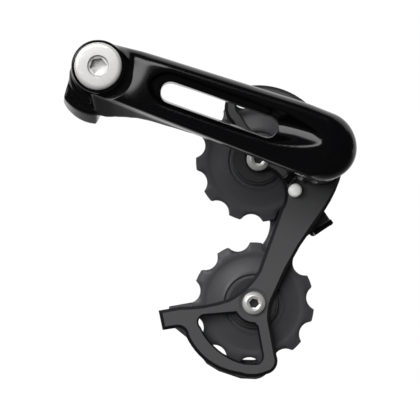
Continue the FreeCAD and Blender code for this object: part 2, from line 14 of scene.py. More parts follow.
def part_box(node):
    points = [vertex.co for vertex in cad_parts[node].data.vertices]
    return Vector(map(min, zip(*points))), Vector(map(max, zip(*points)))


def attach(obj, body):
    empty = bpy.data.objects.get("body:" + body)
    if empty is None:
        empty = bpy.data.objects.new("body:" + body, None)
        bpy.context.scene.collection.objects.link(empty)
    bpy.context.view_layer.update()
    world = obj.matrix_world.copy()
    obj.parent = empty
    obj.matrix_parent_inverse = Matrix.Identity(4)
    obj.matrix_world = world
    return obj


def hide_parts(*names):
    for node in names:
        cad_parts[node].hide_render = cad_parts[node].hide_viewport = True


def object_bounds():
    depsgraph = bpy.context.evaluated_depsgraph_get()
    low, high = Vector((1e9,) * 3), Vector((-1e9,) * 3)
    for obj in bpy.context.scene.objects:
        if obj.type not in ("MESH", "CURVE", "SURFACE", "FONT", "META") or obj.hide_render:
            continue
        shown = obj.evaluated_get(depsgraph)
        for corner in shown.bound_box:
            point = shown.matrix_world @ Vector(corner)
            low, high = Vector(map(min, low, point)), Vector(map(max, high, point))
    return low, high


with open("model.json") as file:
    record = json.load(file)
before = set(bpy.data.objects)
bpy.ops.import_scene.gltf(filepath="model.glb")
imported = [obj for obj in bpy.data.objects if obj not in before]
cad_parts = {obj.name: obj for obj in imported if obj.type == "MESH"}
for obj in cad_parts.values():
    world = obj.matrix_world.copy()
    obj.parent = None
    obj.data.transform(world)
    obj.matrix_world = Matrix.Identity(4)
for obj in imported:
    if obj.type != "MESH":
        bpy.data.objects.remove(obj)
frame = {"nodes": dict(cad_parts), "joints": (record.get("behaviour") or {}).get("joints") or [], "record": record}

CAD_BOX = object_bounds()
MM = 0.001
JOINTS = {joint["name"]: joint for joint in frame["joints"]}


def joint_place(name):
    """Where a joint sits, in millimetres."""
    return Vector(JOINTS[name]["pos_m"]) / MM


PIVOT = joint_place("cage_pivot")
GUIDE = joint_place("guide_spin")
TENSION = joint_place("tension_spin")
ARM_LENGTH = math.hypot(PIVOT.x, PIVOT.z)
ARM_DROP = math.atan2(-PIVOT.z, PIVOT.x)
print("arm", round(ARM_LENGTH, 1), "mm long, dropping", round(math.degrees(ARM_DROP), 1), "degrees")

# %% [markdown]
# ## Drawing helpers
# Flat parts start as an outline in the side view. A designer draws such an outline from straight
# runs and arcs, so our helper takes the same: one point is a straight run, two points are an arc that
# passes through the first and ends on the second. Turned parts start as half a section, which the
# spin operator sweeps round an axis, exactly as a lathe would.

# %% Points on outlines
ARC_STEP = math.radians(5)


def polar(centre, radius, degrees):
    """Point at a radius and an angle round a centre in the side view."""
    a = math.radians(degrees)
    return (centre[0] + radius * math.cos(a), centre[1] + radius * math.sin(a))


def arc_points(start, through, end):
    """Points along the arc that passes through three points, without the first one."""
    a, b, c = (Vector(p) for p in (start, through, end))
    d = 2 * (a.x * (b.y - c.y) + b.x * (c.y - a.y) + c.x * (a.y - b.y))
    sa, sb, sc = a.length_squared, b.length_squared, c.length_squared
    centre = Vector(((sa * (b.y - c.y) + sb * (c.y - a.y) + sc * (a.y - b.y)) / d,
                     (sa * (c.x - b.x) + sb * (a.x - c.x) + sc * (b.x - a.x)) / d))
    radius = (a - centre).length
    first = math.atan2(a.y - centre.y, a.x - centre.x)
    turn = (math.atan2(c.y - centre.y, c.x - centre.x) - first) % math.tau
    middle = (math.atan2(b.y - centre.y, b.x - centre.x) - first) % math.tau
    if middle > turn:
        turn -= math.tau
    steps = max(2, round(abs(turn) / ARC_STEP))
    return [polar(centre, radius, math.degrees(first + turn * i / steps)) for i in range(1, steps + 1)]


def outline(start, *steps):
    """Closed outline as points: a step of one point is a straight run, one of two points is an arc."""
    points = [start]
    for step in steps:
        if len(step) == 1:
            points.append(step[0])
        else:
            points.extend(arc_points(points[-1], *step))
    if (Vector(points[0]) - Vector(points[-1])).length < 1e-3:
        points.pop()
    return points


print("an arc of a quarter turn gets", len(arc_points((1, 0), (0.7071, 0.7071), (0, 1))), "points")

# %% Plates, turned parts and finished pieces
SHARP = math.radians(32)
TURN_STEPS = 96


def prism(points, y0, y1):
    """Solid of an outline between two depths, all in millimetres."""
    bm = bmesh.new()
    ring = [bm.verts.new((x, y0, z)) for x, z in points]
    face = bm.faces.new(ring)
    swept = bmesh.ops.extrude_face_region(bm, geom=[face])
    top = [v for v in swept["geom"] if isinstance(v, bmesh.types.BMVert)]
    bmesh.ops.translate(bm, vec=(0, y1 - y0, 0), verts=top)
    bmesh.ops.recalc_face_normals(bm, faces=bm.faces)
    return bm


def turned(profile, axis, steps=TURN_STEPS):
    """Spins half a section, given as (radius, depth) points, round an axis along Y."""
    bm = bmesh.new()
    verts = [bm.verts.new((axis[0] + r, y, axis[1])) for r, y in profile]
    edges = [bm.edges.new(pair) for pair in zip(verts, verts[1:] + verts[:1])]
    bmesh.ops.spin(bm, geom=verts + edges, cent=(axis[0], 0, axis[1]), axis=(0, 1, 0),
                   angle=math.tau, steps=steps, use_merge=True)
    bmesh.ops.remove_doubles(bm, verts=bm.verts, dist=1e-4)
    bmesh.ops.recalc_face_normals(bm, faces=bm.faces)
    return bm


def soften(profile, size):
    """Cuts each corner of a section by a small bevel, so that every turned edge catches the light."""
    soft = []
    count = len(profile)
    for i in range(count):
        here = Vector(profile[i])
        before = Vector(profile[i - 1]) - here
        after = Vector(profile[(i + 1) % count]) - here
        if here.x < 1e-6:
            soft.append(tuple(here))
            continue
        cut = min(size, before.length * 0.4, after.length * 0.4)
        soft.append(tuple(here + before.normalized() * cut))
        soft.append(tuple(here + after.normalized() * cut))
    return soft


def shade(bm, sharp=SHARP):
    """Smooth shading, except across edges that fold by more than an angle."""
    for face in bm.faces:
        face.smooth = True
    for edge in bm.edges:
        edge.smooth = edge.calc_face_angle(0) < sharp


def mesh_object(name, bm):
    """Writes millimetre work into a mesh object in metres, smooth except at real edges."""
    bmesh.ops.scale(bm, vec=(MM, MM, MM), verts=bm.verts)
    shade(bm)
    mesh = bpy.data.meshes.new(name)
    bm.to_mesh(mesh)
    bm.free()
    obj = bpy.data.objects.new(name, mesh)
    bpy.context.scene.collection.objects.link(obj)
    return obj


def finish_piece(obj, material, body, *nodes):
    """Gives a piece its finish, fixes it to its body and lets it stand for its node."""
    obj.data.materials.clear()
    obj.data.materials.append(material)
    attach(obj, body)
    if nodes:
        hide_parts(*nodes)
    print(obj.name, len(obj.data.polygons), "faces on", body)


BODY_OF = {node: body for body, nodes in frame["record"]["behaviour"]["bodies"].items() for node in nodes}


def apply_modifier(obj, kind, **settings):
    """Adds a modifier with its settings and applies it at once."""
    modifier = obj.modifiers.new(kind.lower(), kind)
    for key, value in settings.items():
        setattr(modifier, key, value)
    bpy.context.view_layer.objects.active = obj
    with bpy.context.temp_override(object=obj, active_object=obj, selected_objects=[obj]):
        bpy.ops.object.modifier_apply(modifier=modifier.name)


def cut_away(obj, cutter):
    """Takes one solid out of another and throws the cutter away."""
    apply_modifier(obj, "BOOLEAN", operation="DIFFERENCE", solver="EXACT", object=cutter)
    bpy.data.objects.remove(cutter)


def reshade(obj, sharp):
    """Shades a mesh again, once cuts have given it new edges."""
    bm = bmesh.new()
    bm.from_mesh(obj.data)
    shade(bm, sharp)
    bm.to_mesh(obj.data)
    bm.free()


# %% [markdown]
# ## Surface effects shared by several finishes
# No real surface has one even gloss. Three effects turn up again and again here: a fine grain in the
# paint and resin, the rings that a lathe leaves on turned metal, and handling marks that dull a
# surface in patches. Two node groups hold them, each built once with its scales as inputs: one makes
# the grain and the marks, the other makes the rings.

# %% Node group helpers
def new_group(name, inputs, outputs):
    """Empty shader group with named number inputs and outputs, and its two end nodes."""
    group = bpy.data.node_groups.new(name, "ShaderNodeTree")
    for label, value in inputs:
        socket = group.interface.new_socket(label, in_out="INPUT", socket_type="NodeSocketFloat")
        socket.default_value = value
    for label in outputs:
        group.interface.new_socket(label, in_out="OUTPUT", socket_type="NodeSocketFloat")
    return group, group.nodes.new("NodeGroupInput"), group.nodes.new("NodeGroupOutput")


def math_node(nodes, links, operation, *values):
    """One arithmetic node that takes one or two sockets."""
    node = nodes.new("ShaderNodeMath")
    node.operation = operation
    for value, socket in zip(values, node.inputs):
        links.new(value, socket)
    return node.outputs[0]


def map_range(nodes, links, value, low, high, full=1.0):
    """Maps a value between 0 and full to a range whose ends are numbers or sockets."""
    node = nodes.new("ShaderNodeMapRange")
    node.inputs["From Max"].default_value = full
    for socket, number in (("To Min", low), ("To Max", high)):
        if isinstance(number, (int, float)):
            node.inputs[socket].default_value = number
        else:
            links.new(number, node.inputs[socket])
    links.new(value, node.inputs["Value"])
    return node.outputs["Result"]


def object_position(nodes):
    """Positions in the object's own space, in metres."""
    return nodes.new("ShaderNodeTexCoord").outputs["Object"]


def make_patches():
    """Handled look: broad soft patches and fine specks, both as a value from 0 to 1."""
    group, start, end = new_group("handling_marks", [("Patch scale", 90.0), ("Speck scale", 900.0)],
                                  ["Patches", "Specks"])
    nodes, links = group.nodes, group.links
    place = object_position(nodes)
    for scale, detail, out in (("Patch scale", 4.0, "Patches"), ("Speck scale", 2.0, "Specks")):
        noise = nodes.new("ShaderNodeTexNoise")
        noise.inputs["Detail"].default_value = detail
        links.new(place, noise.inputs["Vector"])
        links.new(start.outputs[scale], noise.inputs["Scale"])
        links.new(noise.outputs["Fac"], end.inputs[out])
    return group


def make_lathe_rings():
    """Fine concentric rings about an axis along Y, as a height from 0 to 1."""
    group, start, end = new_group("lathe_rings", [("Centre X", 0.0), ("Centre Z", 0.0),
                                                  ("Rings per metre", 6000.0)], ["Height"])
    nodes, links = group.nodes, group.links
    parts = nodes.new("ShaderNodeSeparateXYZ")
    links.new(object_position(nodes), parts.inputs[0])
    across = math_node(nodes, links, "SUBTRACT", parts.outputs["X"], start.outputs["Centre X"])
    up = math_node(nodes, links, "SUBTRACT", parts.outputs["Z"], start.outputs["Centre Z"])
    square = math_node(nodes, links, "ADD", math_node(nodes, links, "MULTIPLY", across, across),
                       math_node(nodes, links, "MULTIPLY", up, up))
    radius = math_node(nodes, links, "SQRT", square)
    turns = math_node(nodes, links, "MULTIPLY", radius, start.outputs["Rings per metre"])
    noise = nodes.new("ShaderNodeTexNoise")
    noise.noise_dimensions = "1D"
    noise.inputs["Scale"].default_value = 1.0
    noise.inputs["Detail"].default_value = 3.0
    links.new(turns, noise.inputs["W"])
    links.new(noise.outputs["Fac"], end.inputs["Height"])
    return group


PATCHES = make_patches()
LATHE_RINGS = make_lathe_rings()
print("shared effects:", PATCHES.name, LATHE_RINGS.name)

# %% [markdown]
# ## Finishes
# The forged arm is painted gloss black; the cage plates are satin black; the pulleys are moulded in a
# dark resin; bolts are turned steel and the stop pin is plated with zinc. All of them are a Principled
# shader whose roughness and normal come from the shared groups, at a strength that suits the process.

# %% Material makers
RELIEF_DEPTH = 0.0001


def add_relief(nodes, links, height, strength):
    """Turns a height into a bump on the finish's shader."""
    relief = nodes.new("ShaderNodeBump")
    relief.inputs["Strength"].default_value = strength
    relief.inputs["Distance"].default_value = RELIEF_DEPTH
    links.new(height, relief.inputs["Height"])
    links.new(relief.outputs["Normal"], nodes["Principled BSDF"].inputs["Normal"])


def base_material(name, colour, metallic, roughness, spread, grain, patch_scale, speck_scale, bump):
    """A finish whose roughness wanders by a spread and whose skin has a fine grain."""
    material = bpy.data.materials.new(name)
    material.use_nodes = True
    nodes, links = material.node_tree.nodes, material.node_tree.links
    shader = nodes["Principled BSDF"]
    shader.inputs["Metallic"].default_value = metallic
    marks = nodes.new("ShaderNodeGroup")
    marks.node_tree = PATCHES
    marks.inputs["Patch scale"].default_value = patch_scale
    marks.inputs["Speck scale"].default_value = speck_scale
    rough = map_range(nodes, links, marks.outputs["Patches"], roughness - spread, roughness + spread)
    links.new(rough, shader.inputs["Roughness"])
    tone = nodes.new("ShaderNodeMix")
    tone.data_type = "RGBA"
    tone.inputs[6].default_value = (*[c * (1 - grain) for c in colour], 1)
    tone.inputs[7].default_value = (*[min(1.0, c * (1 + grain)) for c in colour], 1)
    links.new(marks.outputs["Specks"], tone.inputs[0])
    links.new(tone.outputs[2], shader.inputs["Base Color"])
    add_relief(nodes, links, marks.outputs["Specks"], bump)
    return material


def turned_material(name, colour, roughness, centre, rings, strength, metallic=0.75):
    """Metal off a lathe: rings about the part's own axis break up its highlights."""
    material = base_material(name, colour, metallic, roughness, spread=0.06, grain=0.06,
                             patch_scale=160.0, speck_scale=2500.0, bump=0.05)
    nodes, links = material.node_tree.nodes, material.node_tree.links
    marks = nodes.new("ShaderNodeGroup")
    marks.node_tree = LATHE_RINGS
    marks.inputs["Centre X"].default_value = centre[0] * MM
    marks.inputs["Centre Z"].default_value = centre[1] * MM
    marks.inputs["Rings per metre"].default_value = rings
    add_relief(nodes, links, marks.outputs["Height"], strength)
    return material


# %% The finishes themselves
HANGER = (0.0, 0.0)
# Each row holds the metallic share, roughness, spread, grain, patch and speck scales, and bump.
GLOSS_PAINT, PLATE_SATIN, PLATE_EDGE_SHADE, RESIN, SEAL, BRONZE, SPRING, OXIDE_AND_SOCKET_SHADE = (
    base_material(name, colour, *settings) for name, colour, *settings in (
        ("gloss_black_paint", (0.0006, 0.0006, 0.0008), 0.0, 0.17, 0.03, 0.1, 60.0, 220.0, 0.02),
        ("satin_black_plate", (0.060, 0.060, 0.062), 0.35, 0.38, 0.04, 0.08, 70.0, 3200.0, 0.06),
        # This darker copy of the plate finish is painted shade on the plates' rims, edges and back.
        ("black_plate_edge", (0.004, 0.004, 0.005), 0.2, 0.34, 0.04, 0.08, 70.0, 2600.0, 0.04),
        ("black_resin", (0.028, 0.028, 0.030), 0.0, 0.40, 0.06, 0.12, 80.0, 2400.0, 0.10),
        ("seal_felt", (0.02, 0.02, 0.02), 0.0, 0.9, 0.05, 0.3, 200.0, 4000.0, 0.6),
        ("bearing_bronze", (0.50, 0.33, 0.16), 1.0, 0.45, 0.08, 0.15, 200.0, 5000.0, 0.2),
        ("spring_steel", (0.30, 0.30, 0.31), 1.0, 0.38, 0.08, 0.10, 200.0, 1800.0, 0.15),
        # This dark steel is the lock screw's own black oxide, and also painted shade inside the bolt sockets.
        ("black_oxide_steel", (0.05, 0.05, 0.055), 0.8, 0.4, 0.08, 0.15, 200.0, 3000.0, 0.1)))


def steel_for(name, centre, roughness=0.36):
    """Bright turned steel with rings round one axis."""
    return turned_material(name, (0.85, 0.84, 0.82), roughness, centre, 5200.0, 0.12)


print("finishes:", [m.name for m in bpy.data.materials if m.use_nodes])

# %% [markdown]
# ## Cage plates
# Each plate is stamped from sheet and then machined: a flat face, a narrow bevel all round it, and
# windows that save weight. We draw the outline once and stack copies of it through the thickness.
# The copy on each face is moved inwards, so the rims come out as flat bevels at 45 degrees; the window
# cutters are stacked in the same way, and plain round cutters make the holes.

# %% Outlines of the outer plate
LOBE_R = 11.8
GUARD_R, GUARD_WIDTH = 25.8, 4.0
TAIL_BOSS_R = 7.0
PIVOT_XZ = (PIVOT.x, PIVOT.z)
GUIDE_REL = (GUIDE.x - PIVOT.x, GUIDE.z - PIVOT.z)
TENSION_REL = (TENSION.x - PIVOT.x, TENSION.z - PIVOT.z)
CENTRE = (0.0, 0.0)


def from_pivot(points):
    """Cage outlines are drawn round the pivot."""
    return [(PIVOT.x + x, PIVOT.z + z) for x, z in points]


def outer_plate_outline():
    """Silhouette of the outer plate: pivot lobe, guard arc and the hooked tail."""
    g = GUIDE_REL
    return from_pivot(outline(
        polar(CENTRE, LOBE_R, -35),
        ((6.9, -14.4), (3.7, -20.0)), ((-4.9, -32.4),),
        ((-10.4, -42.4), (-13.6, -49.6)), ((-15.2, -54.6), (-14.9, -59.8)), ((-13.0, -70.2),),
        ((-13.3, -74.1), (-16.4, -76.4)), ((-20.8, -77.4), (-25.7, -76.7)),
        ((-37.1, -72.2), (-44.2, -63.3)), ((-45.4, -61.0), (-47.7, -60.6)),
        ((-52.2, -61.3),), ((-53.6, -54.6),), ((-46.3, -53.3),),
        ((-36.2, -52.4), (-29.6, -50.6)), ((-23.6, -46.3), (-19.3, -40.8)), ((-11.6, -19.5),),
        ((-10.6, -11.4), (-15.4, -6.3)), ((-18.0, -7.0), (g[0] - 1.6, g[1] - 4.0)),
        ((g[0] - 3.8, g[1] - 2.2), (g[0] - 4.4, g[1] + 0.8)),
        ((-28.5, 10.0),), ((-30.6, 13.3), (-30.7, 17.0)), ((-28.6, 20.9), (-23.6, 22.8)),
        (polar(g, GUARD_R, 67), polar(g, GUARD_R, 35)),
        (polar(CENTRE, LOBE_R, 15), polar(CENTRE, LOBE_R, -35))))


def guard_window():
    """Opening between the guard arc, the pivot lobe and the guide pulley's boss."""
    inner = GUARD_R - GUARD_WIDTH
    return from_pivot(outline(
        (-25.0, 18.4), (polar(GUIDE_REL, inner, 70), polar(GUIDE_REL, inner, 43.0)),
        (polar(CENTRE, LOBE_R + 0.8, 140), polar(CENTRE, LOBE_R + 0.8, 165)),
        ((-17.4, 3.2),), ((-22.8, 8.8),), ((-25.6, 13.2),), ((-26.8, 16.2), (-25.0, 18.4))))


def tail_window(lift=0.0):
    """Window over the tension pulley; the lift raises its lower edge."""
    return from_pivot(outline(
        (-37.7, -56.3), (polar(TENSION_REL, TAIL_BOSS_R, 208),),
        (polar(TENSION_REL, TAIL_BOSS_R, 240), polar(TENSION_REL, TAIL_BOSS_R, 271)),
        ((-19.8, -60.2),), ((-18.0, -70.0),),
        ((-18.6, -71.9 + lift), (-20.6, -72.7 + lift)), ((-24.0, -72.6 + lift),),
        ((-33.2, -68.0), (-39.2, -60.2)), ((-39.7, -57.6), (-37.7, -56.3))))


# %% Move an outline inwards
MITRE_LIMIT = 0.6
FOLD_SHARE = 0.97


def inset(points, amount):
    """Moves every point square to the outline; where a bend would fold over, points gather at its tip."""
    here = [Vector(p) for p in points]
    count = len(here)
    runs = list(zip(here, here[1:] + here[:1]))
    hand = 1 if sum(a.x * b.y - b.x * a.y for a, b in runs) > 0 else -1
    moved = []
    for i in range(count):
        one = (here[i] - here[i - 1]).normalized()
        two = (here[(i + 1) % count] - here[i]).normalized()
        square = Vector((-one.y * hand, one.x * hand))
        mean = (square + Vector((-two.y * hand, two.x * hand))).normalized()
        moved.append(here[i] + mean * amount / max(MITRE_LIMIT, mean.dot(square)))
    reach = abs(amount) * FOLD_SHARE
    good = [min((p - closest_on(p, a, b)).length for a, b in runs) > reach for p in moved]
    for i in range(count):
        if not good[i]:
            back = next(k for k in range(1, count) if good[i - k])
            on = next(k for k in range(1, count) if good[(i + k) % count])
            moved[i] = (moved[i - back] + moved[(i + on) % count]) / 2
    return [tuple(p) for p in moved]


def closest_on(point, a, b):
    """Nearest place to a point on one straight piece."""
    along = (point - a).dot(b - a) / max(1e-12, (b - a).length_squared)
    return a + (b - a) * min(1.0, max(0.0, along))


def stack(points, levels):
    """Solid through several depths; each level is (depth, how far the outline is moved inwards)."""
    bm = bmesh.new()
    loops = []
    for y, size in levels:
        ring = inset(points, size) if size else points
        loops.append([bm.verts.new((x, y, z)) for x, z in ring])
    for low, high in zip(loops, loops[1:]):
        for i in range(len(points)):
            j = (i + 1) % len(points)
            bm.faces.new((low[i], low[j], high[j], high[i]))
    bm.faces.new(loops[0])
    bm.faces.new(loops[-1])
    bmesh.ops.remove_doubles(bm, verts=bm.verts, dist=2e-3)
    bmesh.ops.dissolve_degenerate(bm, dist=1e-3, edges=bm.edges)
    bmesh.ops.recalc_face_normals(bm, faces=bm.faces)
    return bm


# %% Cut and bevel a plate
BACK_RIM = 0.3
HOLE_STEPS = 64
PLATE_SHARP = math.radians(24)


def plate_piece(name, body_outline, windows, holes, y0, y1, rim, window_rim):
    """Stamped plate with windows and round holes; the rims on its outer face are cut at 45 degrees."""
    levels = [(y0, rim), (y0 + rim, 0), (y1 - BACK_RIM, 0), (y1, BACK_RIM)]
    plate = mesh_object(name, stack(body_outline, levels))
    for window in windows:
        levels = [(y0 - 1, -window_rim), (y0, -window_rim), (y0 + window_rim, 0), (y1 + 1, 0)]
        cut_away(plate, mesh_object("window", stack(window, levels)))
    for centre, radius, low, high in holes:
        circle = [polar(centre, radius, 360 / HOLE_STEPS * i) for i in range(HOLE_STEPS)]
        cut_away(plate, mesh_object("hole", prism(circle, low, high)))
    reshade(plate, PLATE_SHARP)
    return plate


def face_and_shaded_rims(plate, shade_material):
    """The flat outer face keeps its own finish; rims, edges and back take a second, darker one, which paints shade
    on them.
    """
    plate.data.materials.append(shade_material)
    for face in plate.data.polygons:
        face.material_index = 0 if face.normal.y < -0.9 else 1


OUTER_LOW, OUTER_HIGH = (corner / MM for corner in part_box("outer_plate"))
PIN_LOW, PIN_HIGH = (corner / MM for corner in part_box("stop_pin"))
PIN_XZ = ((PIN_LOW.x + PIN_HIGH.x) / 2, (PIN_LOW.z + PIN_HIGH.z) / 2)
GUIDE_XZ = (GUIDE.x, GUIDE.z)
TENSION_XZ = (TENSION.x, TENSION.z)
BOLT_HOLE = 2.5
SPOT_FACE = 5.0
SPRING_LEG, LEG_HOLE = (PIVOT.x - 7.9, PIVOT.z), 1.3
OUTER_RIM, WINDOW_RIM, INNER_RIM = 1.1, 0.6, 0.3
outer_plate = plate_piece(
    "outer_plate_machined", outer_plate_outline(), [guard_window(), tail_window()],
    [(GUIDE_XZ, BOLT_HOLE, OUTER_LOW.y - 1, OUTER_HIGH.y + 1),
     (TENSION_XZ, BOLT_HOLE, OUTER_LOW.y - 1, OUTER_HIGH.y + 1),
     (TENSION_XZ, SPOT_FACE, OUTER_LOW.y - 1, OUTER_LOW.y + 0.6),
     (SPRING_LEG, LEG_HOLE, OUTER_LOW.y - 1, OUTER_HIGH.y + 1)],
    OUTER_LOW.y, OUTER_HIGH.y, OUTER_RIM, WINDOW_RIM)
finish_piece(outer_plate, PLATE_SATIN, "cage", "outer_plate")
# Every face that doesn't point straight out gets the darker finish, as painted shade.
face_and_shaded_rims(outer_plate, PLATE_EDGE_SHADE)

# %% [markdown]
# ## Inner plate
# The plate on the wheel side is plainer: straight-sided, punched from steel sheet, with one tab bent
# outwards at its front edge. The tab stops the chain from climbing off the guide pulley.

# %% Model the inner plate
INNER_LOW, INNER_HIGH = (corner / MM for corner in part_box("inner_plate"))
SHEET = 2.0
TAB_R = 7.0
LIP_LAP, LIP_ROUND = 0.2, 0.4


def inner_plate_outline():
    """Silhouette of the inner plate, from the guide pulley's tab to the tail."""
    return from_pivot(outline(
        polar(GUIDE_REL, TAB_R, 20),
        ((-5.0, -13.0),), ((3.4, -18.4),), ((6.6, -23.2),), ((7.2, -24.2), (6.4, -24.8)),
        ((1.6, -28.0),), ((0.4, -28.5), (-0.8, -27.8)), ((-6.4, -32.4),), ((-12.8, -45.0),),
        ((-14.9, -54.0),), ((-14.3, -70.0),),
        ((-14.9, -75.2), (-19.8, -78.3)), ((-24.9, -78.1),), ((-32.6, -75.5),),
        ((-36.7, -73.0),), ((-43.3, -64.1),), ((-49.8, -58.9),), ((-49.8, -53.0),), ((-40.8, -51.4),),
        ((-31.0, -50.0),), ((-25.5, -46.0),), ((-17.4, -31.5),), ((-15.2, -27.6), (-14.6, -23.7)),
        ((-17.4, -12.0),), (polar(GUIDE_REL, TAB_R, 250),),
        (polar(GUIDE_REL, TAB_R, 135), polar(GUIDE_REL, TAB_R, 20))))


def keeper_lip():
    """The bent tab, seen end on."""
    return from_pivot(outline((7.2, -24.2), ((0.8, -28.5),), ((-0.2, -27.0),), ((6.2, -22.7),)))


inner_plate = plate_piece(
    "inner_plate_punched", inner_plate_outline(), [tail_window(1.1)],
    [(GUIDE_XZ, BOLT_HOLE, INNER_HIGH.y - SHEET - 1, INNER_HIGH.y + 1),
     (TENSION_XZ, BOLT_HOLE, INNER_HIGH.y - SHEET - 1, INNER_HIGH.y + 1)],
    INNER_HIGH.y - SHEET, INNER_HIGH.y, INNER_RIM, INNER_RIM)
finish_piece(inner_plate, PLATE_SATIN, "cage", "inner_plate")

lip_bm = prism(keeper_lip(), INNER_LOW.y, INNER_HIGH.y - SHEET + LIP_LAP)
bmesh.ops.bevel(lip_bm, geom=lip_bm.edges, offset=LIP_ROUND, offset_type="OFFSET", segments=3, profile=0.5,
                affect="EDGES", material=-1)
keeper = mesh_object("keeper_lip", lip_bm)
finish_piece(keeper, GLOSS_PAINT, "cage")

# %% [markdown]
# ## Pulleys
# A jockey pulley is moulded in one piece: a hub, a raised ring, a dished side and a rim that carries the
# teeth. The lathe gives everything but the teeth. For those we push the outermost rings of the spun
# mesh in and out: between two teeth the rim follows the round seat of a chain roller.

# %% Spin the pulley and push the teeth out
TEETH = 11
ROOT_R, TIP_R, SEAT_R = 18.6, 21.2, 4.3
TOOTH_RING = 17.6
PULLEY_STEPS = TEETH * 24
PULLEY_SECTION = [
    (4.05, 3.6), (8.5, 3.6), (8.85, 3.3), (8.95, 2.7), (9.8, 2.6), (10.0, 3.2), (10.2, 3.35), (10.45, 3.1),
    (11.5, 2.8), (13.0, 2.35), (14.5, 2.0), (15.7, 1.8), (16.4, 1.75), (16.9, 1.8), (TOOTH_RING, 1.8)]
TOOTH_SECTION = [(0.35, 1.72), (0.55, 1.45), (0.8, 1.2), (0.93, 1.1), (1.0, 0.75)]


def rim_radius(angle, phase):
    """Radius of the toothed edge at an angle: a tooth tip, or the seat of a roller."""
    step = math.tau / TEETH
    away = (angle - math.radians(phase) + step / 2) % step - step / 2
    from_seat = step / 2 - abs(away)
    centre = ROOT_R + SEAT_R
    inside = SEAT_R ** 2 - (centre * math.sin(from_seat)) ** 2
    if inside <= 0:
        return TIP_R
    return min(TIP_R, centre * math.cos(from_seat) - math.sqrt(inside))


def pulley_piece(name, centre, phase):
    """Spins one pulley, shapes its teeth and moves it to its axle."""
    half = PULLEY_SECTION + [(TOOTH_RING + t * (TIP_R - TOOTH_RING), y) for t, y in TOOTH_SECTION]
    section = half + [(r, -y) for r, y in reversed(half)]
    bm = turned(section, CENTRE, PULLEY_STEPS)
    for vert in bm.verts:
        radius = math.hypot(vert.co.x, vert.co.z)
        if radius > TOOTH_RING + 0.01:
            angle = math.atan2(vert.co.z, vert.co.x)
            share = (radius - TOOTH_RING) / (TIP_R - TOOTH_RING)
            wanted = TOOTH_RING + share * (rim_radius(angle, phase) - TOOTH_RING)
            vert.co.x *= wanted / radius
            vert.co.z *= wanted / radius
    bmesh.ops.translate(bm, vec=(centre.x, centre.y, centre.z), verts=bm.verts)
    bmesh.ops.recalc_face_normals(bm, faces=bm.faces)
    return mesh_object(name, bm)


for label, centre, phase in (("guide", GUIDE, 19.4), ("tension", TENSION, 21.5)):
    wheel = pulley_piece(label + "_pulley_moulded", centre, phase)
    finish_piece(wheel, RESIN, label + "_wheel", label + "_pulley")

# %% [markdown]
# ## Turned parts
# Caps, sleeves, washers, the axle and the pin are all lathe work. The frame gives each one's axis and
# ends; the section between them is drawn here with its edges broken, as a machinist would.

# %% Read a node's size and turn it again
def node_size(node):
    """Axis, radius and ends of a round node, in millimetres."""
    low, high = (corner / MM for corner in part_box(node))
    return ((low.x + high.x) / 2, (low.z + high.z) / 2), (high.x - low.x) / 2, low.y, high.y


def ring_piece(node, bore, material, edge=0.15, step=None):
    """Plain ring that stands for a node, or one whose outer (-1) or inner (1) half is stepped down."""
    axis, radius, y0, y1 = node_size(node)
    section = [(bore, y0), (radius, y0), (radius, y1), (bore, y1)]
    if step:
        side, width = step
        middle = (y0 + y1) / 2
        near, far = (radius - width, radius) if side < 0 else (radius, radius - width)
        section = [(bore, y0), (near, y0), (near, middle), (far, middle), (far, y1), (bore, y1)]
    piece = mesh_object(node + "_turned", turned(soften(section, edge), axis))
    finish_piece(piece, material, BODY_OF[node], node)


CAP_EDGE, CAP_STEP = 0.12, 0.8
BUSHING_BORE, WASHER_BORE, SEAL_BORE = 4.05, 5.5, 10.0
for label, axis in (("guide", GUIDE_XZ), ("tension", TENSION_XZ)):
    cap_finish = turned_material(label + "_cap_steel", (0.06, 0.06, 0.062), 0.34, axis, 4200.0, 0.25)
    ring_piece(label + "_cap_outer", BOLT_HOLE, cap_finish, CAP_EDGE, (-1, CAP_STEP))
    ring_piece(label + "_cap_inner", BOLT_HOLE, cap_finish, CAP_EDGE, (1, CAP_STEP))
    ring_piece(label + "_bushing", BOLT_HOLE, BRONZE)
ring_piece("bolt_washer", WASHER_BORE, steel_for("washer_steel", HANGER, 0.3), 0.08)
ring_piece("pivot_bushing_outer", BUSHING_BORE, BRONZE)
ring_piece("pivot_bushing_inner", BUSHING_BORE, BRONZE)
ring_piece("pivot_seal_ring", SEAL_BORE, SEAL)

# %% The stop pin
pin_steel = turned_material("zinc_plated_steel", (0.95, 0.96, 0.91), 0.42, PIN_XZ, 3000.0, 0.15, 0.3)
PIN_R = (PIN_HIGH.x - PIN_LOW.x) / 2
PIN_STEP = 0.6
pin_section = [(0.0, PIN_LOW.y), (PIN_R - 0.75, PIN_LOW.y), (PIN_R - 0.6, PIN_LOW.y + 0.06),
               (PIN_R - 0.2, PIN_LOW.y + 0.35), (PIN_R, PIN_LOW.y + 0.7), (PIN_R, OUTER_LOW.y),
               (PIN_R - PIN_STEP, OUTER_LOW.y), (PIN_R - PIN_STEP, PIN_HIGH.y), (0.0, PIN_HIGH.y)]
finish_piece(mesh_object("stop_pin_turned", turned(pin_section, PIN_XZ)), pin_steel, "cage", "stop_pin")

